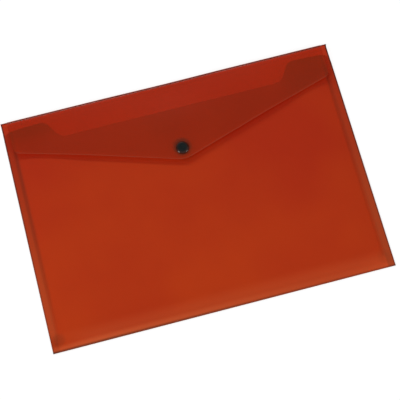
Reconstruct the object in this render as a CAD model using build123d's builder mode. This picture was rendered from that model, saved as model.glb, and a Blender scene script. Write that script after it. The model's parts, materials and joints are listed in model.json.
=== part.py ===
# A4 document wallet. One die-cut polypropylene sheet is folded up at the bottom to make a pocket,
# welded along both sides, and folded over at the top to make a pointed flap.
# A press stud closes the flap: a capped socket on the flap snaps over a stud on the front panel.
#
# The wallet lies on its back. X runs across it, Y from the bottom fold up to the flap's fold,
# and Z up from the table. The origin is under the middle of the wallet. Sizes are in millimetres.

import math
import os

from build123d import *

os.makedirs("parts", exist_ok=True)

# Sheet and overall size
SHEET = 0.5
WALLET_WIDTH = 335.0
WALLET_HEIGHT = 237.0

# Pocket: its clear depth, the flat seam down each side and the weld pressed into that seam
POCKET_DEPTH = 5.4
SEAM_WIDTH = 7.0
WELD_WIDTH = 2.0
WELD_DEPTH = 0.15
WELD_START = 11.0

# How the front panel swells away from the seams and from the bottom fold
SEAM_ANGLE = 13.0
SEAM_HANDLE = 13.0
CROWN_HANDLE = 42.0
SIDE_RISE = 80.0
BOTTOM_RISE = 34.0
BOTTOM_FULLNESS = 4
BOTTOM_STATIONS = 7

# Mouth of the pocket, and the tab that stands up at each end of it
MOUTH_DROP = 29.2
TAB_DROP = 9.2
TAB_LENGTH = 43.0
TAB_FOOT = 55.0
TAB_CORNER_RADIUS = 9.0
TAB_FOOT_RADIUS = 12.0

# Flap: its sides stand in from the wallet's, and its edges slope to a rounded point
FLAP_INSET = 6.5
FLAP_SIDE = 33.8
FLAP_POINT_DROP = 85.0
FLAP_CORNER_RADIUS = 6.0
FLAP_TIP_RADIUS = 20.0
FLAP_BOW_END = 65.0
FLAP_CLEARANCE = 0.3
EAR_GAP = 0.5

# Press stud, measured from the fold to its centre and from the front panel up to the flap
STUD_DROP = 72.4
STUD_STACK = 3.6
POST_CLEARANCE = 0.1

# Cap on the outside of the flap, with the post that rivets it through to the socket
CAP_RADIUS = 6.3
CAP_THICKNESS = 1.4
CAP_RIM = 0.5
CAP_FLAT_RADIUS = 4.3
CAP_POST_RADIUS = 1.6
CAP_RIVET_RADIUS = 2.2
CAP_RIVET_THICKNESS = 0.3

# Socket under the flap: a flanged cup with a sprung lip, slit into fingers
SOCKET_FLANGE_RADIUS = 5.4
SOCKET_FLANGE_THICKNESS = 0.8
SOCKET_BARREL_RADIUS = 4.3
SOCKET_WEB = 0.8
SOCKET_CAVITY_RADIUS = 2.7
SOCKET_LIP_RADIUS = 2.2
SOCKET_LIP_HEIGHT = 0.4
SOCKET_CHAMFER = 0.4
FINGER_COUNT = 4
FINGER_SLIT = 0.6
FINGER_LENGTH = 0.9

# Stud on the front panel: a flange with a hollow nub, whose bulb snaps past the lip
STUD_FLANGE_RADIUS = 5.3
STUD_FLANGE_THICKNESS = 0.9
STUD_RUNNING_GAP = 0.1
STUD_NUB_HEIGHT = 1.4
STUD_BULB_RADIUS = 2.3
STUD_NECK_RADIUS = 2.0
STUD_TIP_RADIUS = 1.95
STUD_WELL_DEPTH = 0.5

# Washer inside the pocket, with the post that rivets it through to the stud
WASHER_RADIUS = 6.0
WASHER_THICKNESS = 1.0
WASHER_CHAMFER = 0.4
WASHER_POST_RADIUS = 1.1
WASHER_RIVET_RADIUS = 1.4
WASHER_RIVET_THICKNESS = 0.4

# Places that follow from those sizes
side_x = WALLET_WIDTH / 2
top_y = WALLET_HEIGHT / 2
bottom_y = -WALLET_HEIGHT / 2
fold_y = bottom_y + SHEET
crown_x = side_x - SEAM_WIDTH - WELD_WIDTH
seam_top = SHEET + SHEET
panel_under = SHEET + POCKET_DEPTH
panel_top = panel_under + SHEET
flap_under = panel_top + STUD_STACK
flap_top = flap_under + SHEET
flap_x = side_x - FLAP_INSET
stud_y = top_y - STUD_DROP

# The flap's crease goes round a pocket that is full, so the flap lies clear of the front panel.
# Its centre is the line that the flap turns about.
crease_inner = (POCKET_DEPTH + SHEET + FLAP_CLEARANCE) / 2
crease_outer = crease_inner + SHEET
hinge_y = top_y - crease_outer
hinge_z = crease_outer

# The flap bows in one arc from the crease up to the press stud, and is level from there to its point.
# The arc is tangent to the crease at one end and level at the other, which gives its radius.
bow_y = top_y - FLAP_BOW_END
bow_run = hinge_y - bow_y
bow_rise = flap_under - hinge_z
bow_radius = (bow_run**2 + bow_rise**2 - crease_inner**2) / (2 * (bow_rise - crease_inner))
bow_z = flap_under - bow_radius
bow_angle = math.degrees(math.atan2(bow_run, hinge_z - bow_z))
print(f"flap turns about y {hinge_y:.3f}, z {hinge_z:.3f}")
print(f"flap leaves its crease at {bow_angle:.3f} degrees, on a bow of radius {bow_radius:.1f}")


def panel_section(swell):
    """Draw the front panel cut across, from seam to seam, swollen by a share of the pocket's depth."""
    rise = POCKET_DEPTH * swell
    lift = SEAM_HANDLE * math.tan(math.radians(SEAM_ANGLE)) * swell
    flat_x = crown_x - SIDE_RISE
    for floor in (SHEET, seam_top):
        Line((-side_x, floor), (-crown_x, floor))
        Bezier(
            (-crown_x, floor),
            (-crown_x + SEAM_HANDLE, floor + lift),
            (-crown_x + CROWN_HANDLE, floor + rise),
            (-flat_x, floor + rise),
        )
        Line((-flat_x, floor + rise), (flat_x, floor + rise))
        Bezier(
            (flat_x, floor + rise),
            (crown_x - CROWN_HANDLE, floor + rise),
            (crown_x - SEAM_HANDLE, floor + lift),
            (crown_x, floor),
        )
        Line((crown_x, floor), (side_x, floor))
    for side in (-side_x, side_x):
        Line((side, SHEET), (side, seam_top))


# Back panel, flat on the table. An ear at each top corner runs on past the flap's crease to the fold.
with BuildPart() as back_panel:
    with BuildSketch():
        with BuildLine():
            Polyline(
                (-side_x, fold_y),
                (side_x, fold_y),
                (side_x, top_y),
                (flap_x + EAR_GAP, top_y),
                (flap_x + EAR_GAP, hinge_y),
                (-flap_x - EAR_GAP, hinge_y),
                (-flap_x - EAR_GAP, top_y),
                (-side_x, top_y),
                close=True,
            )
        make_face()
    extrude(amount=SHEET)

# Bottom fold, creased flat, so the front panel starts straight on top of the back panel
with BuildPart() as bottom_fold:
    with BuildSketch(Plane.YZ):
        with BuildLine():
            fold_arc = CenterArc((fold_y, SHEET), SHEET, 90, 180)
            Line(fold_arc @ 1, fold_arc @ 0)
        make_face()
    extrude(amount=side_x, both=True)

# Front panel. Above the bottom rise its section is the same all the way to the mouth.
# Below, it is lofted down to nothing at the fold.
rise_y = fold_y + BOTTOM_RISE
with BuildPart() as front_panel:
    for station in range(BOTTOM_STATIONS + 1):
        share = (station / BOTTOM_STATIONS) ** 2
        with BuildSketch(Plane.XZ.offset(-fold_y - BOTTOM_RISE * share)):
            with BuildLine():
                panel_section(1 - (1 - share) ** BOTTOM_FULLNESS)
            make_face()
    loft()
    with BuildSketch(Plane.XZ.offset(-rise_y)):
        with BuildLine():
            panel_section(1)
        make_face()
    extrude(amount=rise_y - top_y)
    # The mouth is cut with the tabs at its ends
    with BuildSketch() as front_outline:
        with BuildLine():
            Polyline(
                (-side_x, fold_y),
                (side_x, fold_y),
                (side_x, top_y - TAB_DROP),
                (side_x - TAB_LENGTH, top_y - TAB_DROP),
                (side_x - TAB_FOOT, top_y - MOUTH_DROP),
                (-side_x + TAB_FOOT, top_y - MOUTH_DROP),
                (-side_x + TAB_LENGTH, top_y - TAB_DROP),
                (-side_x, top_y - TAB_DROP),
                close=True,
            )
        make_face()
        fillet(front_outline.vertices().group_by(Axis.Y)[1], TAB_FOOT_RADIUS)
        fillet(front_outline.vertices().group_by(Axis.Y)[-1], TAB_CORNER_RADIUS)
    extrude(amount=panel_top + SHEET, mode=Mode.INTERSECT)
    # Weld pressed into each seam
    with BuildSketch(Plane.XY.offset(seam_top)):
        with Locations((-crown_x - WELD_WIDTH, bottom_y + WELD_START), (crown_x, bottom_y + WELD_START)):
            Rectangle(WELD_WIDTH, WALLET_HEIGHT, align=Align.MIN)
    extrude(amount=-WELD_DEPTH, mode=Mode.SUBTRACT)
    # Hole for the washer's post
    with Locations((0, stud_y, panel_top)):
        Hole(WASHER_POST_RADIUS + POST_CLEARANCE)

# Crease between the back panel and the flap, a living hinge
with BuildPart() as flap_crease:
    with BuildSketch(Plane.YZ):
        with BuildLine():
            crease_in = CenterArc((hinge_y, hinge_z), crease_inner, -90, 180 - bow_angle)
            crease_out = CenterArc((hinge_y, hinge_z), crease_outer, -90, 180 - bow_angle)
            Line(crease_in @ 0, crease_out @ 0)
            Line(crease_in @ 1, crease_out @ 1)
        make_face()
    extrude(amount=flap_x, both=True)

# Flap, bowed over the mouth and cut to its point
with BuildPart() as flap:
    with BuildSketch(Plane.YZ):
        with BuildLine():
            bow_in = CenterArc((bow_y, bow_z), bow_radius, 90 - bow_angle, bow_angle)
            bow_out = CenterArc((bow_y, bow_z), bow_radius + SHEET, 90 - bow_angle, bow_angle)
            level_in = Line(bow_in @ 1, (top_y - FLAP_POINT_DROP, flap_under))
            level_out = Line(bow_out @ 1, (top_y - FLAP_POINT_DROP, flap_top))
            Line(bow_in @ 0, bow_out @ 0)
            Line(level_in @ 1, level_out @ 1)
        make_face()
    extrude(amount=flap_x, both=True)
    with BuildSketch() as flap_outline:
        with BuildLine():
            Polyline(
                (-flap_x, top_y),
                (-flap_x, top_y - FLAP_SIDE),
                (0, top_y - FLAP_POINT_DROP),
                (flap_x, top_y - FLAP_SIDE),
                (flap_x, top_y),
                close=True,
            )
        make_face()
        fillet(flap_outline.vertices().group_by(Axis.Y)[1], FLAP_CORNER_RADIUS)
        fillet(flap_outline.vertices().group_by(Axis.Y)[0], FLAP_TIP_RADIUS)
    extrude(amount=flap_top + SHEET, mode=Mode.INTERSECT)
    # Hole for the cap's post
    with Locations((0, stud_y, flap_top)):
        Hole(CAP_POST_RADIUS + POST_CLEARANCE)

# The press stud's four pieces are turned about one axis
stud_axis = Axis((0, stud_y, 0), (0, 0, 1))
stud_plane = Plane((0, stud_y, 0), x_dir=(1, 0, 0), z_dir=(0, -1, 0))
web_under = flap_under - SOCKET_WEB
flange_top = panel_top + STUD_FLANGE_THICKNESS
socket_foot = flange_top + STUD_RUNNING_GAP
nub_top = flange_top + STUD_NUB_HEIGHT
bulb_z = socket_foot + SOCKET_LIP_HEIGHT + STUD_BULB_RADIUS - SOCKET_LIP_RADIUS + STUD_RUNNING_GAP

# Cap, with a rounded rim. Its post goes through the flap and is spread out under the socket's web.
with BuildPart() as popper_cap:
    with BuildSketch(stud_plane):
        with BuildLine():
            turned = Polyline(
                (0, flap_top + CAP_THICKNESS),
                (0, web_under - CAP_RIVET_THICKNESS),
                (CAP_RIVET_RADIUS, web_under - CAP_RIVET_THICKNESS),
                (CAP_RIVET_RADIUS, web_under),
                (CAP_POST_RADIUS, web_under),
                (CAP_POST_RADIUS, flap_top),
                (CAP_RADIUS, flap_top),
                (CAP_RADIUS, flap_top + CAP_RIM),
            )
            Line((CAP_FLAT_RADIUS, flap_top + CAP_THICKNESS), turned @ 0)
            EllipticalCenterArc(
                (CAP_FLAT_RADIUS, flap_top + CAP_RIM),
                CAP_RADIUS - CAP_FLAT_RADIUS,
                CAP_THICKNESS - CAP_RIM,
                arc_size=90,
            )
        make_face()
    revolve(axis=stud_axis)

# Socket, a cup that opens down on to the stud
with BuildPart() as popper_socket:
    with BuildSketch(stud_plane):
        with BuildLine():
            Polyline(
                (CAP_POST_RADIUS + POST_CLEARANCE, flap_under),
                (SOCKET_FLANGE_RADIUS, flap_under),
                (SOCKET_FLANGE_RADIUS, flap_under - SOCKET_FLANGE_THICKNESS),
                (SOCKET_BARREL_RADIUS, flap_under - SOCKET_FLANGE_THICKNESS),
                (SOCKET_BARREL_RADIUS, socket_foot),
                (SOCKET_LIP_RADIUS, socket_foot),
                (SOCKET_LIP_RADIUS, socket_foot + SOCKET_LIP_HEIGHT),
                (SOCKET_CAVITY_RADIUS, socket_foot + SOCKET_LIP_HEIGHT),
                (SOCKET_CAVITY_RADIUS, web_under),
                (CAP_POST_RADIUS + POST_CLEARANCE, web_under),
                close=True,
            )
        make_face()
    revolve(axis=stud_axis)
    foot_edges = popper_socket.edges().filter_by(GeomType.CIRCLE).group_by(Axis.Z)[0]
    chamfer(foot_edges.sort_by(SortBy.RADIUS)[-1], SOCKET_CHAMFER)
    # Slits that free the lip to spring
    with BuildSketch(Plane.XY.offset(socket_foot)):
        with Locations((0, stud_y)):
            with PolarLocations(SOCKET_CAVITY_RADIUS, FINGER_COUNT):
                Rectangle(FINGER_LENGTH * 2, FINGER_SLIT)
    extrude(amount=web_under - socket_foot, mode=Mode.SUBTRACT)

# Stud, with a bulb on its nub and a well for the washer's rivet
with BuildPart() as popper_stud:
    with BuildSketch(stud_plane):
        with BuildLine():
            Polyline(
                (WASHER_POST_RADIUS + POST_CLEARANCE, panel_top),
                (STUD_FLANGE_RADIUS, panel_top),
                (STUD_FLANGE_RADIUS, flange_top),
                (STUD_NECK_RADIUS, flange_top),
                (STUD_NECK_RADIUS, socket_foot + SOCKET_LIP_HEIGHT),
                (STUD_BULB_RADIUS, bulb_z),
                (STUD_TIP_RADIUS, nub_top),
                (WASHER_RIVET_RADIUS + POST_CLEARANCE, nub_top),
                (WASHER_RIVET_RADIUS + POST_CLEARANCE, nub_top - STUD_WELL_DEPTH),
                (WASHER_POST_RADIUS + POST_CLEARANCE, nub_top - STUD_WELL_DEPTH),
                close=True,
            )
        make_face()
    revolve(axis=stud_axis)

# Washer inside the pocket, which holds the stud on by its post
well_floor = nub_top - STUD_WELL_DEPTH
with BuildPart() as popper_washer:
    with BuildSketch(stud_plane):
        with BuildLine():
            Polyline(
                (0, panel_under - WASHER_THICKNESS),
                (WASHER_RADIUS, panel_under - WASHER_THICKNESS),
                (WASHER_RADIUS, panel_under),
                (WASHER_POST_RADIUS, panel_under),
                (WASHER_POST_RADIUS, well_floor),
                (WASHER_RIVET_RADIUS, well_floor),
                (WASHER_RIVET_RADIUS, well_floor + WASHER_RIVET_THICKNESS),
                (0, well_floor + WASHER_RIVET_THICKNESS),
                close=True,
            )
        make_face()
    revolve(axis=stud_axis)
    chamfer(popper_washer.edges().filter_by(GeomType.CIRCLE).group_by(Axis.Z)[0], WASHER_CHAMFER)

back_panel.part.label = "back_panel"
bottom_fold.part.label = "bottom_fold"
front_panel.part.label = "front_panel"
flap_crease.part.label = "flap_crease"
flap.part.label = "flap"
popper_cap.part.label = "popper_cap"
popper_socket.part.label = "popper_socket"
popper_stud.part.label = "popper_stud"
popper_washer.part.label = "popper_washer"

export_step(back_panel.part, "parts/back_panel.step")
export_step(bottom_fold.part, "parts/bottom_fold.step")
export_step(front_panel.part, "parts/front_panel.step")
export_step(flap_crease.part, "parts/flap_crease.step")
export_step(flap.part, "parts/flap.step")
export_step(popper_cap.part, "parts/popper_cap.step")
export_step(popper_socket.part, "parts/popper_socket.step")
export_step(popper_stud.part, "parts/popper_stud.step")
export_step(popper_washer.part, "parts/popper_washer.step")
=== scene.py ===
# %% [markdown]
# # A red plastic document wallet
# The wallet is one die-cut sheet of translucent polypropylene, about half a millimetre thick. It is
# folded up at the bottom to make a pocket, welded down both sides, and folded over at the top to make a
# pointed flap, which a black press stud holds shut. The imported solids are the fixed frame, and this
# lesson dresses them. Each sheet is cut flat, rounded at its corners, sliced where it bends, folded and
# thickened, and every surface gets its finish.

# %% Load the frame
import json
import math

import bmesh
import bpy
import numpy as np
from mathutils import Matrix, Quaternion, Vector, noise
from mathutils.geometry import interpolate_bezier


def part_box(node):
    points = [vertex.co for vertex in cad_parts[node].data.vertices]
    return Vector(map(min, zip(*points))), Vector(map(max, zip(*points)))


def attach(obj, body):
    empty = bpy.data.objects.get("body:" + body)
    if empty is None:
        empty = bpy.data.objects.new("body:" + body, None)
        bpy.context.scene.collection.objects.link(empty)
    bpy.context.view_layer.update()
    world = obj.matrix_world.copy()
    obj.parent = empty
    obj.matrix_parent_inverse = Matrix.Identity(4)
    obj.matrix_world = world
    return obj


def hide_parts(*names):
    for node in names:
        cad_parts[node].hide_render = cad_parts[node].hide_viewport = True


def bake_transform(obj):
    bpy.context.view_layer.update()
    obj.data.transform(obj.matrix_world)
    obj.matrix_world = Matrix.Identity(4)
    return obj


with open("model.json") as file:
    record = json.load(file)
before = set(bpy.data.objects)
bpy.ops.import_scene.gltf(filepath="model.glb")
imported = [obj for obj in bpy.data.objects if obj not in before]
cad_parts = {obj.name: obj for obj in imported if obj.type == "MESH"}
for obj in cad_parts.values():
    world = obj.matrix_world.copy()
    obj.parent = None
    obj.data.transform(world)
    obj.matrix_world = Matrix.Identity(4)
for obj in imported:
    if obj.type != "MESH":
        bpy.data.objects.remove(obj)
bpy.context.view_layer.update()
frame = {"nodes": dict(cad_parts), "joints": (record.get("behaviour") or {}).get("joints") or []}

print("solids in the frame:", sorted(frame["nodes"]))

# %% [markdown]
# ## Sizes
# Blender works in metres, and the frame already holds the object at its real size. So most places are
# read from the boxes of the solids, and only what a box can't tell is written again, in millimetres
# times MM.

# %% Read the sizes of the wallet
MM = 0.001
back_low, back_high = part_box("back_panel")
front_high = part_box("front_panel")[1]
flap_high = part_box("flap")[1]
cap_low, cap_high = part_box("popper_cap")
hinge = Vector(frame["joints"][0]["pos_m"])

sheet = back_high.z
side_x = back_high.x
top_y = back_high.y
fold_y = back_low.y
tab_y = front_high.y
flap_x = flap_high.x
stud_y = (cap_low.y + cap_high.y) / 2
pocket_rise = front_high.z - 2 * sheet
print(f"sheet {sheet / MM:.2f} mm, wallet {2 * side_x / MM:.0f} mm wide")
print(f"pocket {pocket_rise / MM:.1f} mm deep")

# %% [markdown]
# ## Camera
# The photograph looks down on the wallet from the front and a little from the left, with a long lens. A
# camera could be placed by its matrix, but an aim, an azimuth, an elevation, a distance and a roll say
# the same thing in numbers that can be understood and nudged.

# %% Place the camera
AIM = Vector((3.7, -7.0, 0)) * MM
AZIMUTH = math.radians(-12.4)
ELEVATION = math.radians(72.5)
DISTANCE = 1247.7 * MM
ROLL = math.radians(-2.4)
LENS = 115.6


def bearing(azimuth, elevation):
    """Give the direction from the wallet towards a place round it; azimuth 0 is straight in front."""
    level = math.cos(elevation)
    return Vector((math.sin(azimuth) * level, -math.cos(azimuth) * level, math.sin(elevation)))


camera_data = bpy.data.cameras.new("camera")
camera_data.lens = LENS
camera = bpy.data.objects.new("camera", camera_data)
camera.rotation_mode = "QUATERNION"
towards_camera = bearing(AZIMUTH, ELEVATION)
camera.location = AIM + towards_camera * DISTANCE
camera.rotation_quaternion = (-towards_camera).to_track_quat("-Z", "Y") @ Quaternion((0, 0, 1), ROLL)
bpy.context.scene.collection.objects.link(camera)
bpy.context.scene.camera = camera
bpy.context.scene.view_settings.view_transform = "Standard"
print("camera at", [round(c, 3) for c in camera.location])

# %% [markdown]
# ## Writing a finish
# A finish is a node tree, and a tree is hard to read when it is built one link at a time. Here one
# small class wraps a socket and gives it the signs of arithmetic, so `1 - mask` adds the Math node that
# works it out. Two methods cover what most marks on the sheet need: a smooth step, and a way from one
# number to another.


# %% A socket that does sums
class Wire:
    """An output socket in a node tree, with arithmetic that adds Math nodes."""

    def __init__(self, finish, socket):
        self.finish = finish
        self.socket = socket

    def _sum(self, operation, first, second):
        return self.finish.node("Math", {"operation": operation}, {0: first, 1: second})

    def __add__(self, other):
        return self._sum("ADD", self, other)

    def __sub__(self, other):
        return self._sum("SUBTRACT", self, other)

    def __rsub__(self, other):
        return self._sum("SUBTRACT", other, self)

    def __mul__(self, other):
        return self._sum("MULTIPLY", self, other)

    __radd__ = __add__
    __rmul__ = __mul__

    def __abs__(self):
        return self.finish.node("Math", {"operation": "ABSOLUTE"}, {0: self})

    def step(self, low, high):
        """Go smoothly from 0 at low to 1 at high."""
        settings = {"interpolation_type": "SMOOTHSTEP"}
        return self.finish.node("MapRange", settings, {"Value": self, "From Min": low, "From Max": high})

    def between(self, first, last):
        """Go from the first number to the last as this goes from 0 to 1."""
        return first + (last - first) * self


# %% [markdown]
# Every other node comes from one method, which takes the node's type, then its settings, then its
# sockets. Settings go first, because some of them change which sockets a node has. The other methods
# are short names for nodes that are used often: noise of a given size, a mix of two colours, and a
# bump.


# %% A finish that makes its nodes
class Finish:
    """A material, and the one method that makes each of its nodes."""

    def __init__(self, name):
        self.material = bpy.data.materials.new(name)
        self.material.use_nodes = True
        self.tree = self.material.node_tree
        self.tree.nodes.clear()
        self.place = self.node("TexCoord", output="Object")

    def node(self, kind, settings=None, sockets=None, output=0):
        """Make a node, give it its settings, then its values and links, and give one of its outputs."""
        made = self.tree.nodes.new("ShaderNode" + kind)
        for name, value in (settings or {}).items():
            setattr(made, name, value)
        for name, value in (sockets or {}).items():
            if isinstance(value, Wire):
                self.tree.links.new(value.socket, made.inputs[name])
            else:
                made.inputs[name].default_value = value
        return Wire(self, made.outputs[output]) if made.outputs else None

    def across(self, place=None):
        """Give the x and the y of a place, or else of the place on the surface."""
        split = self.node("SeparateXYZ", sockets={"Vector": place or self.place}).socket.node
        return Wire(self, split.outputs["X"]), Wire(self, split.outputs["Y"])

    def grain(self, size, seed=0.0):
        """Give noise about 0 to 1, in blotches of a size in metres; each seed lays them out anew."""
        sockets = {"Vector": self.place, "W": seed, "Scale": 1 / size}
        return self.node("TexNoise", {"noise_dimensions": "4D"}, sockets)

    def mix(self, share, first, second):
        """Mix two colours by a share."""
        return self.node("Mix", {"data_type": "RGBA"}, {0: share, 6: first, 7: second}, output=2)

    def bump(self, height, distance):
        """Turn heights from 0 to 1 into a normal, where 1 stands for a distance."""
        return self.node("Bump", sockets={"Height": height, "Distance": distance})

    def show(self, shader):
        """Send a shader to the material's output, and give the material."""
        self.node("OutputMaterial", sockets={"Surface": shader})
        print("finish", self.material.name, "has", len(self.tree.nodes), "nodes")
        return self.material


# %% [markdown]
# ## The sheet's finish
# Translucent polypropylene is coloured right through, so what lies under a layer shows, and layers that
# lie on each other look darker. Glass-like refraction would be exact, but it stops lamps from shining
# through on to the layer below. So each face mixes an opaque frosted red with a clear tint: light and
# sight both pass the clear share, and the opaque share takes light and shadow. A ray goes through two
# faces of a sheet, so each has half the job. The red is a little more orange in soft patches, and it is
# lighter and more orange towards the lower left, which is a painted sheen. Where a mark says so, the
# colour is paler with painted light, or a dense dark red covers the face; along some marks that red is
# painted shade.

# %% Mix the frosted red sheet
PATCH_SIZE = 90 * MM
PATCH_SEED = 10.4
PATCH_EDGES = (0.3, 0.7)
PATCH_GLOW = 0.4
PATCH_HAZE = 0.03
PLAIN_GLOW = 0.1
LOW_LEFT_PAINTED_SHEEN = 0.55
LEFT_LEAN = 0.25
GRAIN_SIZE = 0.35 * MM
GRAIN_HEIGHT = 0.006 * MM
SHEET_ROUGHNESS = (0.18, 0.23)
PAINTED_LIGHT_RED = (0.64, 0.135, 0.040, 1)
DEEP_RED = (0.06, 0.010, 0.004, 1)
DEEP_ROUGHNESS = 0.5
DEEP_SHINE = 0.1


def frosted_sheet(name, red, orange, tint, haze, shine, deep=None, pale=None):
    """Make a sheet's finish. haze is the opaque share of each face and shine is its gloss.

    deep and pale take the finish and mark, from 0 to 1, where the sheet is dense and dark, as along a weld,
    and where painted shade darkens it, and where painted light makes it paler.
    """
    finish = Finish(name)
    x, y = finish.across()
    patches = finish.grain(PATCH_SIZE, PATCH_SEED)
    grain = finish.grain(GRAIN_SIZE)
    # Painted sheen: the red turns lighter and more orange towards the lower left.
    low_left_sheen = (y + LEFT_LEAN * x).step(stud_y + PATCH_SIZE / 2, fold_y)
    glow = PLAIN_GLOW + LOW_LEFT_PAINTED_SHEEN * low_left_sheen + PATCH_GLOW * (patches.step(*PATCH_EDGES) - 0.5)
    colour = finish.mix(glow, red, orange)
    # Painted light: where the mark says so, the red turns paler.
    if pale:
        colour = finish.mix(pale(finish), colour, PAINTED_LIGHT_RED)
    frosted = finish.node(
        "BsdfPrincipled",
        sockets={
            "Base Color": colour,
            "Roughness": grain.between(*SHEET_ROUGHNESS),
            "Specular IOR Level": shine,
            "Normal": finish.bump(grain, GRAIN_HEIGHT),
        },
    )
    clear = finish.node("BsdfTransparent", sockets={"Color": tint})
    share = haze + PATCH_HAZE * (patches - 0.5)
    surface = finish.node("MixShader", sockets={0: share, 1: clear, 2: frosted})
    # The dense dark red draws welds and cut sides, and painted shade where a mark asks for it.
    if deep:
        dense = {"Base Color": DEEP_RED, "Roughness": DEEP_ROUGHNESS, "Specular IOR Level": DEEP_SHINE}
        line = finish.node("BsdfPrincipled", sockets=dense)
        surface = finish.node("MixShader", sockets={0: deep(finish), 1: surface, 2: line})
    return finish.show(surface)


# %% [markdown]
# ## Cut sides and ears
# Some places on the sheet differ from the rest. A cut side, seen from above, shows a long way through
# the plastic, so it is a deep red line, and so is the top edge of each ear beside the flap. Such marks
# could be painted on a picture, but a formula of x and y stays sharp from any distance: a smooth step
# fades a mark in, and a product of steps keeps it to its place. Real lines are uneven, so their
# strength changes from left to right and upwards.

# %% Mark the cut sides and the ears
SIDE_LINE = 1.8 * MM
SIDE_DENSITY = (0.5, 0.65)
SIDE_CLIMB = (0.55, 1)
EAR_LINE = 0.9 * MM
EAR_DENSITY = 0.4


def rightwards(x):
    """Go from 0 at the left side to 1 at the right side."""
    return x.step(-side_x, side_x)


def upwards(y):
    """Go from 0 at the bottom fold to 1 at the crease."""
    return y.step(fold_y, hinge.y)


def side_line(x, y):
    """Mark both cut sides."""
    strength = rightwards(x).between(*SIDE_DENSITY) * upwards(y).between(*SIDE_CLIMB)
    return strength * abs(x).step(side_x - SIDE_LINE, side_x - SIDE_LINE / 3)


def back_deep(finish):
    """Mark where the back panel is dense and dark."""
    x, y = finish.across()
    side = side_line(x, y)
    ears = EAR_DENSITY * y.step(top_y - EAR_LINE, top_y - EAR_LINE / 3)
    return side + (1 - side) * ears


print(f"side lines {SIDE_LINE / MM:.1f} mm wide, ear lines {EAR_LINE / MM:.1f} mm wide")

# %% [markdown]
# ## Welds, fold and tabs
# A weld melts both layers into one dense line. It darkens the plastic close beside it, starts in a soft
# blob, and is faint near its start on the left. The flange outside it is two layers pressed together.
# The bottom fold is seen along the sheet, so it is a dark line too, thinner towards the right. The tabs
# at the ends of the mouth are darkened with painted shade, the shade that the flap lays on them, and
# there is a faint darker spot near the middle of the mouth. A finish for each would be easier to follow,
# but their edges would be hard, so all of them go into one sum.

# %% Mark the welds, the fold and the tabs
SEAM_WIDTH = 7 * MM
WELD_WIDTH = 2 * MM
WELD_START = 11 * MM
WELD_GLOW = 2.2 * MM
WELD_DENSITY = (0.16, 0.38)
WELD_ON_RIGHT = 0.7
FAINT_LENGTH = 60 * MM
FAINT_LOSS = 0.6
BLOB_REACH = 8 * MM
BLOB_DENSITY = (0.2, 0.08)
FLANGE_DENSITY = (0.11, 0.23)
FOLD_LINE = 2.4 * MM
FOLD_THINS = 0.8 * MM
FOLD_DENSITY = (0.65, 0.4)
MOUTH_DROP = 29.2 * MM
TAB_PAINTED_SHADE = 0.4
DARK_SPOT_PLACE = Vector((-12, 78)) * MM
DARK_SPOT_REACH = 26 * MM
DARK_SPOT_STRENGTH = 0.1

weld_x = side_x - SEAM_WIDTH - WELD_WIDTH
weld_y = fold_y + WELD_START
mouth_y = top_y - MOUTH_DROP


def spot(x, y, inner, outer):
    """Mark a spot round the place where x and y are 0: full within one radius, gone past another."""
    return 1 - (x * x + y * y).step(inner**2, outer**2)


def front_deep(finish):
    """Mark where the front panel is dense and dark, and where painted shade darkens it."""
    x, y = finish.across()
    right = rightwards(x)
    up = upwards(y)
    off_weld = abs(x) - (weld_x + WELD_WIDTH / 2)
    off_start = y - weld_y
    on_flange = off_weld.step(0, WELD_WIDTH)

    faint = FAINT_LOSS * (1 - right) * (1 - off_start.step(0, FAINT_LENGTH))
    weld = 1 - abs(off_weld).step(0, WELD_WIDTH / 2 + WELD_GLOW)
    weld = weld * off_start.step(-WELD_WIDTH, WELD_WIDTH) * (1 - faint)
    weld = weld * up.between(*WELD_DENSITY) * right.between(1, WELD_ON_RIGHT)
    blob = right.between(*BLOB_DENSITY) * spot(off_weld, off_start, 0, BLOB_REACH)
    flange = on_flange * ((1 - up) * right).between(*FLANGE_DENSITY)
    fold_top = fold_y + FOLD_LINE - FOLD_THINS * right
    fold = right.between(*FOLD_DENSITY) * (1 - y.step(fold_y, fold_top))
    # Painted shade: the tabs darken as in the flap's shade.
    tabs = TAB_PAINTED_SHADE * y.step(mouth_y, tab_y) * (1 - on_flange)
    # A faint darker spot near the middle of the mouth.
    dark_spot = DARK_SPOT_STRENGTH * spot(x - DARK_SPOT_PLACE.x, y - DARK_SPOT_PLACE.y, 0, DARK_SPOT_REACH)
    return weld + blob + flange + fold + tabs + dark_spot + side_line(x, y)


print(f"welds lie {weld_x / MM:.1f} mm from the middle, mouth at y {mouth_y / MM:.1f} mm")

# %% [markdown]
# ## Painted light on the fold
# Where the pocket rises steeply from its bottom fold, and along the flanges, the colour is paler. A little
# of that is stretched plastic, and most of it is painted light and sheen, where the fold and the flanges
# face the front lamps. It is palest in a narrow band along the fold, more so on the left, then fades as
# the rise gets gentler. The left corner is calmer than the rest. A brighter lamp from below would also
# show the fold, but it would light the whole pocket, so the colour is painted paler instead.

# %% Mark the painted light on the fold
PALE_FOLD = 7 * MM
PALE_RISE = 20 * MM
FOLD_PALENESS = (0.9, 0.45)
RISE_PALENESS = 0.28
FLANGE_PALENESS = 0.38
CORNER_CALM = 0.5


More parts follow.
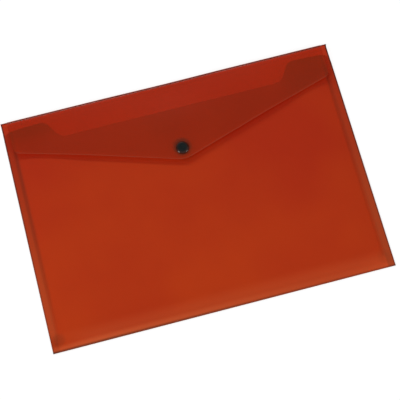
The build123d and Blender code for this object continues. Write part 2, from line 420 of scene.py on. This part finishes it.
def front_painted_light(finish):
    """Mark where painted light makes the front panel paler, along the bottom fold, its rise and the
    flanges.
    """
    x, y = finish.across()
    fold = 1 - y.step(fold_y + FOLD_LINE, fold_y + PALE_FOLD)
    rise = 1 - y.step(fold_y + PALE_FOLD, fold_y + PALE_RISE)
    flange = abs(x).step(weld_x, weld_x + 2 * WELD_WIDTH) * (1 - upwards(y))
    left_corner = x.step(2 * PALE_RISE - weld_x, -side_x)
    strong = rightwards(x).between(*FOLD_PALENESS) * (1 - CORNER_CALM * left_corner) * fold
    above = RISE_PALENESS * rise * (1 - flange) + FLANGE_PALENESS * flange
    return strong + (1 - fold) * above * (1 - left_corner * rise)


print(f"the fold is pale for {PALE_FOLD / MM:.0f} mm, its rise for {PALE_RISE / MM:.0f} mm")

# %% [markdown]
# ## Marks on the flap
# The flap moves, so a mark on it can't go by its place in the room. Its mesh keeps two notes from when
# it was a flat blank: how far round the crease each point lies, and where it lay in the blank. The dark
# line along the crease reads the first. A ring of painted shadow round the press stud, and painted shade
# at the right end, read the second. So all three stay on the flap in every pose.

# %% Mark the flap
TURN_LAYER = "turn"
FLAT_LAYER = "flat"
CREASE_LINE = (0.64, 0.8)
CREASE_FADE = (0.9, 0.99)
CREASE_DENSITY = 0.55
RING_INNER = 5.0 * MM
RING_OUTER = 10.5 * MM
RING_RISE = 1.2 * MM
RING_PAINTED_SHADOW = 0.5
RIGHT_SHADE_START = 98 * MM
RIGHT_SHADE_END = 132 * MM
RIGHT_SHADE_RISE = 14 * MM
RIGHT_SHADE_STRENGTH = (0.08, 0.16)


def flap_deep(finish):
    """Mark where the flap is dense and dark, and where painted shadow and shade darken it."""
    turn = finish.node("Attribute", {"attribute_name": TURN_LAYER}, output="Fac")
    flat = finish.node("Attribute", {"attribute_name": FLAT_LAYER}, output="Vector")
    x, y = finish.across(flat)
    crease = CREASE_DENSITY * turn.step(*CREASE_LINE) * (1 - turn.step(*CREASE_FADE))
    # Painted shadow: a dark ring round the cap.
    ring = RING_PAINTED_SHADOW * spot(x, y - (stud_y + RING_RISE), RING_INNER, RING_OUTER)
    # Painted shade: the flap's right end darkens below the mouth, most over the weld.
    right_shade = x.step(RIGHT_SHADE_START, RIGHT_SHADE_END) * (1 - y.step(mouth_y, mouth_y + RIGHT_SHADE_RISE))
    over_weld = x.step(weld_x - 2 * WELD_GLOW, weld_x)
    return crease + ring + right_shade * over_weld.between(*RIGHT_SHADE_STRENGTH)


# The ring is painted shadow round the cap.
print(f"dense ring out to {RING_OUTER / MM:.1f} mm from the press stud")

# %% [markdown]
# ## Four reds
# The front, the back, the flap and the flap's rim are one plastic, but each is seen over something
# else. The front panel is the haziest. The back lets most light through, and its finish also goes on
# the lower half of the crease. The flap's haze lies between theirs, and its lower cut edge has a pale
# rim, a painted highlight where the edge would catch the light. One function with other numbers keeps
# the four alike.

# %% Finish the front, the back, the flap and its rim
front_finish = frosted_sheet(
    "frosted_front",
    red=(0.371, 0.0325, 0.0085, 1),
    orange=(0.460, 0.056, 0.0085, 1),
    tint=(1.0, 0.18, 0.09, 1),
    haze=0.60,
    shine=0.12,
    deep=front_deep,
    pale=front_painted_light,
)
back_finish = frosted_sheet(
    "frosted_back",
    red=(0.245, 0.029, 0.010, 1),
    orange=(0.26, 0.034, 0.010, 1),
    tint=(0.71, 0.20, 0.11, 1),
    haze=0.10,
    shine=0.5,
    deep=back_deep,
)
flap_finish = frosted_sheet(
    "frosted_flap",
    red=(0.386, 0.056, 0.014, 1),
    orange=(0.48, 0.067, 0.014, 1),
    tint=(0.90, 0.27, 0.14, 1),
    haze=0.255,
    shine=0.34,
    deep=flap_deep,
)
# The rim's finish is a painted highlight: a paler, hazier red.
rim_highlight_finish = frosted_sheet(
    "flap_rim_painted_highlight",
    red=(0.36, 0.066, 0.026, 1),
    orange=(0.38, 0.070, 0.026, 1),
    tint=(0.90, 0.30, 0.18, 1),
    haze=0.38,
    shine=0.34,
)

# %% [markdown]
# ## The press stud's finish
# The stud is moulded in black plastic: nearly smooth, with a faint moulding texture and a little
# dust-grey on it, which keeps it from being a hole in the picture. Towards its rim a dark brown is
# painted in, a painted reflection of the red sheet round it. The front of the rim is rubbed shiny,
# which is a thin clear coat. Both come in with the distance from the stud's axis, because one finish
# serves all four pieces of the stud.

# %% Mould the black plastic
BLACK = (0.006, 0.008, 0.008, 1)
DUSTY = (0.012, 0.015, 0.015, 1)
PAINTED_REFLECTION_BROWN = (0.036, 0.0075, 0.0035, 1)
DUST_SIZE = 3 * MM
MOULD_SIZE = 0.2 * MM
MOULD_HEIGHT = 0.004 * MM
STUD_ROUGHNESS = (0.22, 0.30)
STUD_SHINE = 0.03
BROWN_INNER = 3.4 * MM
BROWN_OUTER = 6.2 * MM
RUB_INNER = 3.4 * MM
RUB_OUTER = 5.0 * MM
RUB_FRONT = 2.5 * MM
RUB_ROUGHNESS = 0.13


def moulded_black():
    """Make the finish of the press stud's four pieces."""
    finish = Finish("moulded_black")
    x, y = finish.across()
    off_axis = y - stud_y
    # Painted reflection: the rim turns dark brown, as if it mirrored the red sheet.
    brown = 1 - spot(x, off_axis, BROWN_INNER, BROWN_OUTER)
    rubbed = (1 - spot(x, off_axis, RUB_INNER, RUB_OUTER)) * off_axis.step(0, -RUB_FRONT)
    dust = finish.grain(DUST_SIZE)
    black = finish.mix(dust * (1 - rubbed), BLACK, DUSTY)
    plastic = finish.node(
        "BsdfPrincipled",
        sockets={
            "Base Color": finish.mix(brown, black, PAINTED_REFLECTION_BROWN),
            "Roughness": dust.between(*STUD_ROUGHNESS),
            "Specular IOR Level": STUD_SHINE,
            "Coat Weight": rubbed,
            "Coat Roughness": RUB_ROUGHNESS,
            "Normal": finish.bump(finish.grain(MOULD_SIZE), MOULD_HEIGHT),
        },
    )
    return finish.show(plastic)


stud_finish = moulded_black()

# %% [markdown]
# ## From a flat blank to a folded sheet
# A thin folded sheet could be drawn as it stands, but it is easier to do what the factory does. The
# blank is one flat face, cut to its outline. Its corners are rounded by a vertex bevel, which starts
# where a circle of the wanted radius would touch the two edges.

# %% Cut a blank
CORNER_STEPS = 8


def blank(outline, corners):
    """Make a flat face from its outline and round its corners, each given by its place and its radius."""
    bm = bmesh.new()
    bm.faces.new([bm.verts.new((x, y, 0)) for x, y in outline])
    for place, radius in corners:
        corner = min(bm.verts, key=lambda v: (v.co.xy - Vector(place)).length)
        one, two = (edge.other_vert(corner).co - corner.co for edge in corner.link_edges)
        reach = radius / math.tan(one.angle(two) / 2)
        bmesh.ops.bevel(
            bm,
            geom=[corner],
            offset=reach,
            segments=CORNER_STEPS,
            profile=0.5,
            affect="VERTICES",
            material=-1,
        )
    return bm


# %% [markdown]
# A face bends only where it has edges, so planes slice the blank wherever it will bend. A hole for the
# press stud could be cut by a boolean, but that leaves long thin faces. Here the slices leave a square
# cell, whose faces are deleted, and a circle with as many points as the cell's rim is bridged to it.

# %% Slice and punch a blank
ACROSS = Vector((1, 0, 0))
ALONG = Vector((0, 1, 0))
TOUCHING = 1e-7
CELL_MARGIN = 1.01


def slice_up(bm, direction, places):
    """Cut the flat sheet along lines square to a direction."""
    for place in places:
        everything = bm.verts[:] + bm.edges[:] + bm.faces[:]
        bmesh.ops.bisect_plane(
            bm, geom=everything, dist=TOUCHING, plane_co=direction * place, plane_no=direction
        )


def punch(bm, centre, half_cell, radius):
    """Open a round hole in the middle of a square cell that slices have already cut round."""
    middle = Vector((*centre, 0))
    reach = half_cell * CELL_MARGIN

    def in_cell(element):
        return all(max(abs(v.co.x - middle.x), abs(v.co.y - middle.y)) < reach for v in element.verts)

    bmesh.ops.delete(bm, geom=[face for face in bm.faces if in_cell(face)], context="FACES")
    rim = [edge for edge in bm.edges if edge.is_boundary and in_cell(edge)]
    ring = bmesh.ops.create_circle(bm, segments=len(rim), radius=radius, matrix=Matrix.Translation(middle))
    ring_edges = list({edge for vert in ring["verts"] for edge in vert.link_edges})
    bmesh.ops.bridge_loops(bm, edges=rim + ring_edges)
    bmesh.ops.recalc_face_normals(bm, faces=bm.faces[:])
    if sum(face.normal.z for face in bm.faces) < 0:
        bmesh.ops.reverse_faces(bm, faces=bm.faces[:])


# %% [markdown]
# Every point of the blank is then moved to its folded place, and a Solidify modifier gives the sheet
# its thickness, half to each side. The modifier's result becomes the mesh, so that its edges can be
# marked as sharp where two faces meet at more than 40 degrees. Two sheets that touch would share faces
# and flicker, so each is a hair thinner than its solid.

# %% Make a piece and thicken it
AIR = 0.05 * MM
SHARP = math.radians(40)


def make_piece(bm, name, *finishes):
    """Turn a bmesh into an object with its finishes."""
    mesh = bpy.data.meshes.new(name)
    bm.to_mesh(mesh)
    bm.free()
    piece = bpy.data.objects.new(name, mesh)
    bpy.context.scene.collection.objects.link(piece)
    for finish in finishes:
        mesh.materials.append(finish)
    return piece


def smooth(piece):
    """Shade a piece smoothly, but for its sharp edges."""
    piece.data.shade_smooth()
    piece.data.set_sharp_from_angle(angle=SHARP)
    print(piece.name, "has", len(piece.data.polygons), "faces")


def thicken(piece):
    """Give a folded sheet its thickness on both sides, and keep that as its mesh."""
    solid = piece.modifiers.new("thickness", "SOLIDIFY")
    solid.thickness = sheet - AIR
    solid.offset = 0
    solid.use_even_offset = True
    graph = bpy.context.evaluated_depsgraph_get()
    mesh = bpy.data.meshes.new_from_object(piece.evaluated_get(graph))
    piece.modifiers.clear()
    piece.data = mesh
    smooth(piece)


# %% [markdown]
# ## The pocket
# The back panel, the bottom fold and the front panel are one stretch of the sheet. The front panel lies
# flat on the back panel along both welded seams and swells between them. That swelling could be blown
# up by a cloth simulation, but it is one curve across times another up from the fold, so a point's
# height needs only its x and its y. The weld's line is pressed in, the seam beside it springs up a
# little, and long shallow waves keep the panel from looking ironed.

# %% Shape the pocket's swelling
SEAM_ANGLE = math.radians(13)
SEAM_HANDLE = 13 * MM
CROWN_HANDLE = 42 * MM
CROWN_STEPS = 24
SIDE_RISE = 80 * MM
BOTTOM_RISE = 34 * MM
BOTTOM_FULLNESS = 4
SEAM_SPRING = 0.15 * MM
WELD_WALL = 0.8 * MM
WAVE_LENGTH = 75 * MM
WAVE_HEIGHT = 0.25 * MM
STUD_CLEAR = 25 * MM

crown_curve = interpolate_bezier(
    Vector((0, 0)),
    Vector((SEAM_HANDLE, SEAM_HANDLE * math.tan(SEAM_ANGLE))),
    Vector((CROWN_HANDLE, pocket_rise)),
    Vector((SIDE_RISE, pocket_rise)),
    CROWN_STEPS,
)
crown_in, crown_up = np.array([point.xy for point in crown_curve]).T
seam_z = sheet + sheet / 2


def ease(value, low, high):
    """Go smoothly from 0 at low to 1 at high."""
    share = min(max((value - low) / (high - low), 0), 1)
    return share * share * (3 - 2 * share)


def front_height(x, y):
    """Give the middle of the front panel's thickness above the table."""
    share = min(max((y - fold_y) / BOTTOM_RISE, 0), 1)
    swell = 1 - (1 - share) ** BOTTOM_FULLNESS
    crown = float(np.interp(weld_x - abs(x), crown_in, crown_up))
    out = abs(x) - weld_x
    pressed = ease(out, -WELD_WALL, 0) * (1 - ease(out, WELD_WIDTH, WELD_WIDTH + WELD_WALL))
    pressed *= ease(y, weld_y - WELD_WIDTH, weld_y)
    spring = SEAM_SPRING * (1 - crown / pocket_rise) * (1 - pressed)
    calm = ease(math.hypot(x, y - stud_y), 0, STUD_CLEAR)
    wave = noise.noise(Vector((x, y, 0)) / WAVE_LENGTH) * WAVE_HEIGHT * calm * crown / pocket_rise
    return seam_z + swell * (crown + spring + wave)


print(f"front panel {front_height(0, stud_y) / MM:.2f} mm above the table at the stud")

# %% [markdown]
# In the flat blank, v runs from the back panel's top at its lowest, through 0 in the middle of the
# bottom fold, to the tabs at the ends of the pocket's mouth. The back panel keeps an ear at each top
# corner, beside the flap, which curls up with the crease for a quarter turn. Bending the blank with
# modifiers would need one for each fold, while a function from the flat place to the folded place says
# it all at once.

# %% Say where each point of the pocket goes
EAR_TURN = math.radians(90)

fold_radius = sheet / 2
half_fold = fold_radius * math.pi / 2
crease_radius = hinge.z - sheet / 2
ear_length = crease_radius * EAR_TURN


def on_front(y):
    """Give the place in the blank of a place on the front panel."""
    return half_fold + y - fold_y


def on_back(y):
    """Give the place in the blank of a place on the back panel."""
    return -on_front(y)


def fold_pocket(x, v):
    """Move a point of the flat blank to its place in the folded pocket."""
    if v > half_fold:
        y = fold_y + v - half_fold
        return x, y, front_height(x, y)
    if v < on_back(hinge.y):
        turn = (on_back(hinge.y) - v) / crease_radius
        return x, hinge.y + crease_radius * math.sin(turn), hinge.z - crease_radius * math.cos(turn)
    if v < -half_fold:
        return x, fold_y - v - half_fold, sheet / 2
    turn = v / fold_radius
    return x, fold_y - fold_radius * math.cos(turn), sheet + fold_radius * math.sin(turn)


print(f"blank of the pocket {(on_front(tab_y) - on_back(hinge.y) + ear_length) / MM:.1f} mm long")

# %% [markdown]
# The blank's outline is the same on both sides, so one half is written and the other is its mirror
# image. It goes from the notch between the ears, round an ear, down the side to the other end of the
# blank, and along a tab to the mouth. The tabs' corners are round, and so is the inner corner where a
# tab meets the mouth.

# %% Cut the pocket's blank
TAB_LENGTH = 43 * MM
TAB_FOOT = 55 * MM
TAB_CORNER_RADIUS = 9 * MM
TAB_FOOT_RADIUS = 12 * MM
EAR_GAP = 0.1 * MM

ear_x = flap_x + EAR_GAP
ear_foot = on_back(hinge.y)
ear_top = ear_foot - ear_length
tab_outer = (side_x, on_front(tab_y))
tab_inner = (side_x - TAB_LENGTH, on_front(tab_y))
tab_foot = (side_x - TAB_FOOT, on_front(mouth_y))
right_half = [(ear_x, ear_foot), (ear_x, ear_top), (side_x, ear_top), tab_outer, tab_inner, tab_foot]
pocket_outline = right_half + [(-x, v) for x, v in reversed(right_half)]
rounded = {tab_outer: TAB_CORNER_RADIUS, tab_inner: TAB_CORNER_RADIUS, tab_foot: TAB_FOOT_RADIUS}
pocket_corners = [((side * x, v), radius) for side in (-1, 1) for (x, v), radius in rounded.items()]
pocket = blank(pocket_outline, pocket_corners)
print("pocket's outline has", len(pocket.verts), "points")

# %% [markdown]
# Slices lie close together where the sheet bends sharply, as round the folds and at the welds, and
# further apart where it is nearly flat. Each face takes the front's or the back's finish by the side of
# the fold that it lies on, as a slot number that counts the finishes given to the piece. Only then is
# every point moved to its folded place, because slicing a folded sheet would be far harder.

# %% Slice, fold and thicken the pocket
COLUMN_STEP = 8 * MM
ROW_STEP = 7 * MM
RISE_ROWS = 14
FOLD_ROWS = 9
EAR_ROWS = 9
STUD_CELL = 3 * MM
STUD_HOLE = 1.2 * MM
FRONT_SLOT = 0
BACK_SLOT = 1

weld_columns = [weld_x - WELD_WALL, weld_x, weld_x + WELD_WIDTH, weld_x + WELD_WIDTH + WELD_WALL]
columns = [weld_x - step for step in crown_in[1:]] + weld_columns
columns += list(np.arange(STUD_CELL, weld_x - SIDE_RISE, COLUMN_STEP))
slice_up(pocket, ACROSS, [side * x for x in columns for side in (-1, 1)] + [0])
rise_rows = [fold_y + BOTTOM_RISE * (row / RISE_ROWS) ** 2 for row in range(1, RISE_ROWS + 1)]
plain_rows = np.arange(rise_rows[-1] + ROW_STEP, tab_y, ROW_STEP)
weld_rows = [weld_y - WELD_WIDTH / 2, weld_y]
stud_rows = [stud_y - STUD_CELL, stud_y, stud_y + STUD_CELL]
slice_up(pocket, ALONG, [on_front(y) for y in [*rise_rows, *plain_rows, *weld_rows, *stud_rows]])
slice_up(pocket, ALONG, np.linspace(-half_fold, half_fold, FOLD_ROWS))
slice_up(pocket, ALONG, np.linspace(ear_foot, ear_top, EAR_ROWS, endpoint=False))
punch(pocket, (0, on_front(stud_y)), STUD_CELL, STUD_HOLE)
for face in pocket.faces:
    on_the_back = face.calc_center_median().y < -half_fold
    face.material_index = BACK_SLOT if on_the_back else FRONT_SLOT
for vert in pocket.verts:
    vert.co = fold_pocket(vert.co.x, vert.co.y)
wallet_pocket = make_piece(pocket, "wallet_pocket", front_finish, back_finish)
thicken(wallet_pocket)

# %% [markdown]
# ## The flap and its crease
# The flap is the same sheet, carried on over the top. Its crease is a living hinge: it bends round the
# line that the flap turns about, and the flap leaves it on a long shallow bow that comes level over the
# press stud. The crease runs straight to its ends, but the flap's free ends sag below it, and the stud
# pulls the crease down a little at the middle. In the flat blank, u is the flap's own y as far as the
# crease, and the length of sheet round the crease after that. The bow is an arc that touches both the
# crease's circle and the level stretch, so its radius can be worked out and needs no fitting.

# %% Say where each point of the flap goes
FLAP_BOW_END = 65 * MM
SAG_START = 85 * MM
SAG_RUN = 30 * MM
SIDE_SAG = 0.4
DIP_REACH = 70 * MM
DIP_RUN = 50 * MM
FOLD_DIP = 0.2

flap_z = flap_high.z - sheet / 2
bow_y = top_y - FLAP_BOW_END
bow_run = hinge.y - bow_y
bow_rise = flap_z - hinge.z
bow_radius = (bow_run**2 + bow_rise**2 - crease_radius**2) / (2 * (bow_rise - crease_radius))
bow_angle = math.asin(bow_run / (bow_radius - crease_radius))
crease_turn = math.pi - bow_angle
root_y = hinge.y + crease_radius * math.sin(bow_angle)
crease_end = root_y + crease_radius * crease_turn


def turned(u):
    """Give 1 on the flap and 0 at the back panel, and between them go evenly round the crease."""
    return 1 - min(max((u - root_y) / (crease_end - root_y), 0), 1)


def fold_flap(x, u):
    """Move a point of the flat blank to its place in the closed flap."""
    y = u
    z = flap_z - bow_radius + math.sqrt(bow_radius**2 - max(u - bow_y, 0) ** 2)
    if u > root_y:
        angle = math.pi / 2 - bow_angle - (u - root_y) / crease_radius
        y = hinge.y + crease_radius * math.cos(angle)
        z = hinge.z + crease_radius * math.sin(angle)
    sag = 1 - SIDE_SAG * ease(abs(x), SAG_START, flap_x) * ease(root_y - u, 0, SAG_RUN)
    dip = 1 - FOLD_DIP * (1 - ease(abs(x), 0, DIP_REACH)) * ease(u, root_y - DIP_RUN, root_y)
    return x, y, sheet / 2 + (z - sheet / 2) * sag * dip


print(f"crease turns {math.degrees(crease_turn):.1f} degrees on a radius of {crease_radius / MM:.2f} mm")

# %% [markdown]
# The flap's outline has five corners: two where it joins the back panel, two at its sides, and its
# point. The pale rim along its lower edge, a painted highlight, could be a line in the finish, but a
# line would have to follow the slanted edges and the rounded tip. An inset sets off an even strip
# along the whole edge, and the strip's faces below the flap's sides take the rim's painted highlight.

# %% Cut the flap's blank
FLAP_SIDE = 33.8 * MM
FLAP_POINT_DROP = 85 * MM
FLAP_CORNER_RADIUS = 6 * MM
FLAP_TIP_RADIUS = 20 * MM
FLAP_RIM = 0.8 * MM
FLAP_SLOT = 0
RIM_SLOT = 1
CREASE_SLOT = 2

flap_side_y = top_y - FLAP_SIDE
flap_left = (-flap_x, flap_side_y)
flap_tip = (0, top_y - FLAP_POINT_DROP)
flap_right = (flap_x, flap_side_y)


def mark_rim(bm, width, below):
    """Set off a strip along the edge, and give it the rim's finish where it lies below a place."""
    strip = bmesh.ops.inset_region(
        bm, faces=bm.faces[:], thickness=width, use_boundary=True, use_even_offset=True
    )
    for face in strip["faces"]:
        on_rim = face.calc_center_median().y < below
        face.material_index = RIM_SLOT if on_rim else FLAP_SLOT


flap_outline = [(flap_x, crease_end), (-flap_x, crease_end), flap_left, flap_tip, flap_right]
flap_corners = [
    (flap_tip, FLAP_TIP_RADIUS),
    (flap_left, FLAP_CORNER_RADIUS),
    (flap_right, FLAP_CORNER_RADIUS),
]
flap_blank = blank(flap_outline, flap_corners)
mark_rim(flap_blank, FLAP_RIM, below=flap_side_y)
print("flap's blank has", len(flap_blank.faces), "faces before it is sliced")

# %% [markdown]
# The flap is sliced, punched and folded as the pocket was. Before a point moves, its two notes are
# written into layers of the mesh: its share of the crease's turn, and its place in the flat blank. The
# half of the crease next to the back panel takes the back's finish.

# %% Slice, fold and thicken the flap
BOW_STEP = 3 * MM
CREASE_ROWS = 24
CAP_HOLE = 1.7 * MM
CREASE_HALF = 0.5

flap_columns = np.arange(STUD_CELL, flap_x, COLUMN_STEP)
slice_up(flap_blank, ACROSS, [side * x for x in flap_columns for side in (-1, 1)] + [0])
crease_rows = np.linspace(root_y, crease_end, CREASE_ROWS, endpoint=False)
slice_up(flap_blank, ALONG, [*np.arange(bow_y, root_y, BOW_STEP), *stud_rows, *crease_rows])
punch(flap_blank, (0, stud_y), STUD_CELL, CAP_HOLE)
turn_layer = flap_blank.verts.layers.float.new(TURN_LAYER)
flat_layer = flap_blank.verts.layers.float_vector.new(FLAT_LAYER)
for face in flap_blank.faces:
    next_to_back = turned(face.calc_center_median().y) < CREASE_HALF
    if face.material_index == FLAP_SLOT and next_to_back:
        face.material_index = CREASE_SLOT
for vert in flap_blank.verts:
    vert[turn_layer] = turned(vert.co.y)
    vert[flat_layer] = vert.co
    vert.co = fold_flap(vert.co.x, vert.co.y)
wallet_flap = make_piece(flap_blank, "wallet_flap", flap_finish, rim_highlight_finish, back_finish)
thicken(wallet_flap)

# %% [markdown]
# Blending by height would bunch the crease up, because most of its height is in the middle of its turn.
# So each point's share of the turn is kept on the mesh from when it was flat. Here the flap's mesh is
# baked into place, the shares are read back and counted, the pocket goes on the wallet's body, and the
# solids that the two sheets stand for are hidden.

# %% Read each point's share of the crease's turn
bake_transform(wallet_flap)
shares = np.zeros(len(wallet_flap.data.vertices), np.float32)
wallet_flap.data.attributes[TURN_LAYER].data.foreach_get("value", shares)
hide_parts("flap", "flap_crease")
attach(wallet_pocket, "wallet")
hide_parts("back_panel", "bottom_fold", "front_panel")
print("flap follows its body at", int((shares == 1).sum()), "points")
print("crease unrolls at", int((shares < 1).sum()), "points")

# %% [markdown]
# ## The press stud
# The cap on the flap is what shows. It is a turned shape, so half of its section is drawn as a profile:
# a flat disc whose rim falls away in a quarter of an ellipse, its post through the flap, and the rivet
# head that holds the socket on. A disc with a bevel would be quicker, but a round bevel is too tight to
# catch the lamps as a broad rim does.

# %% Draw the cap's profile
CAP_POST_RADIUS = 1.6 * MM
CAP_RIVET_RADIUS = 2.2 * MM
CAP_RIVET_THICKNESS = 0.3 * MM
CAP_RIM_WIDTH = 2.6 * MM
CAP_RIM_DROP = 1.1 * MM
CAP_RIM_STEPS = 10

cap_radius = cap_high.x
rivet_top = cap_low.z + CAP_RIVET_THICKNESS
cap_profile = [(0, cap_high.z)]
for turn in np.linspace(0, math.pi / 2, CAP_RIM_STEPS):
    out = cap_radius - CAP_RIM_WIDTH * (1 - math.sin(turn))
    cap_profile.append((out, cap_high.z - CAP_RIM_DROP * (1 - math.cos(turn))))
cap_profile += [
    (cap_radius, flap_high.z),
    (CAP_POST_RADIUS, flap_high.z),
    (CAP_POST_RADIUS, rivet_top),
    (CAP_RIVET_RADIUS, rivet_top),
    (CAP_RIVET_RADIUS, cap_low.z),
    (0, cap_low.z),
]
print("cap's profile has", len(cap_profile), "points")

# %% [markdown]
# The profile is spun once round the stud's axis. The spin joins its last step to its first, but it
# leaves many points at each pole, so those are merged, and the normals are made to point outwards. The
# socket, the stud and the washer keep their solids, which have the right shape already, and only take
# the finish.

# %% Turn the cap
CAP_STEPS = 64

cap = bmesh.new()
points = [cap.verts.new((r, stud_y, z)) for r, z in cap_profile]
lines = [cap.edges.new(pair) for pair in zip(points, points[1:])]
bmesh.ops.spin(
    cap,
    geom=points + lines,
    cent=(0, stud_y, 0),
    axis=(0, 0, 1),
    angle=2 * math.pi,
    steps=CAP_STEPS,
    use_merge=True,
)
bmesh.ops.remove_doubles(cap, verts=cap.verts[:], dist=TOUCHING)
bmesh.ops.recalc_face_normals(cap, faces=cap.faces[:])
popper_disc = make_piece(cap, "popper_disc", stud_finish)
smooth(popper_disc)
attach(popper_disc, "flap")
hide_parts("popper_cap")
for name in ("popper_socket", "popper_stud", "popper_washer"):
    node = frame["nodes"][name]
    node.data.materials.clear()
    node.data.materials.append(stud_finish)

# %% [markdown]
# ## Floor
# The picture is taken on white. More light would make a pale floor white, but it would wash out the
# wallet. So the floor is pale paper, and a share of it glows, only for rays that come from the camera
# or by way of something shiny or clear. It comes out white without more light on the wallet, and still
# takes a shadow.

# %% Lay the floor
WHITE = (1, 1, 1, 1)
PAPER = (0.95, 0.95, 0.95, 1)
FLOOR_SIZE = 12.0
FLOOR_GLOW = 0.8
RAYS = ("Camera", "Glossy", "Transmission")

floor_finish = Finish("white_floor")
light_path = floor_finish.node("LightPath").socket.node
eye, shiny, clear = (Wire(floor_finish, light_path.outputs[f"Is {kind} Ray"]) for kind in RAYS)
paper = floor_finish.node("BsdfDiffuse", sockets={"Color": PAPER})
glow = floor_finish.node("Emission", sockets={"Color": WHITE, "Strength": 1.0})
glowing = FLOOR_GLOW * (eye + shiny + clear)
floor_finish.show(floor_finish.node("MixShader", sockets={0: glowing, 1: paper, 2: glow}))
ground = bmesh.new()
bmesh.ops.create_grid(ground, x_segments=1, y_segments=1, size=FLOOR_SIZE / 2)
floor = make_piece(ground, "floor", floor_finish.material)
print(f"floor {FLOOR_SIZE:.0f} m across")

# %% [markdown]
# ## Light
# A plain white world fills every shadow a little. A long strip lamp behind the wallet lays the flap's
# shadow on the pocket. The strip runs parallel to the flap's left edge, so that edge's shadow is sharp
# and the other edge's is soft, where a square lamp would make both alike. Two smaller lamps in front
# lift the bottom fold and the shadow under the flap, and give the cap its two glints.

# %% Hang the lamps
WORLD_LEVEL = 0.29
FRONT_LAMP = (0.8, 0.66)
left_edge = Vector((flap_x, FLAP_SIDE - FLAP_POINT_DROP, 0))

world = bpy.data.worlds.new("studio")
bpy.context.scene.world = world
world.use_nodes = True
world.node_tree.nodes["Background"].inputs["Color"].default_value = WHITE
world.node_tree.nodes["Background"].inputs["Strength"].default_value = WORLD_LEVEL


def lamp(name, azimuth, elevation, distance, size, power, along=None):
    """Hang a soft lamp that looks at the wallet; the first of size is its side along a direction."""
    data = bpy.data.lights.new(name, "AREA")
    data.shape = "RECTANGLE"
    data.size, data.size_y = size
    data.energy = power
    towards = bearing(math.radians(azimuth), math.radians(elevation))
    long_side = (along or Vector((0, 0, 1)).cross(towards)).normalized()
    back_side = (towards - long_side * towards.dot(long_side)).normalized()
    turn = Matrix((long_side, back_side.cross(long_side), back_side)).transposed()
    lamp_object = bpy.data.objects.new(name, data)
    lamp_object.location = towards * distance
    lamp_object.rotation_mode = "QUATERNION"
    lamp_object.rotation_quaternion = turn.to_quaternion()
    bpy.context.scene.collection.objects.link(lamp_object)
    print(f"lamp {name}: {power:.0f} W at {distance:.1f} m")


lamp("strip_behind", azimuth=-154, elevation=31, distance=3.6, size=(4.0, 0.45), power=115, along=left_edge)
lamp("front_left", azimuth=-70, elevation=34, distance=2.5, size=FRONT_LAMP, power=27)
lamp("front_right", azimuth=50, elevation=34, distance=2.5, size=FRONT_LAMP, power=25)
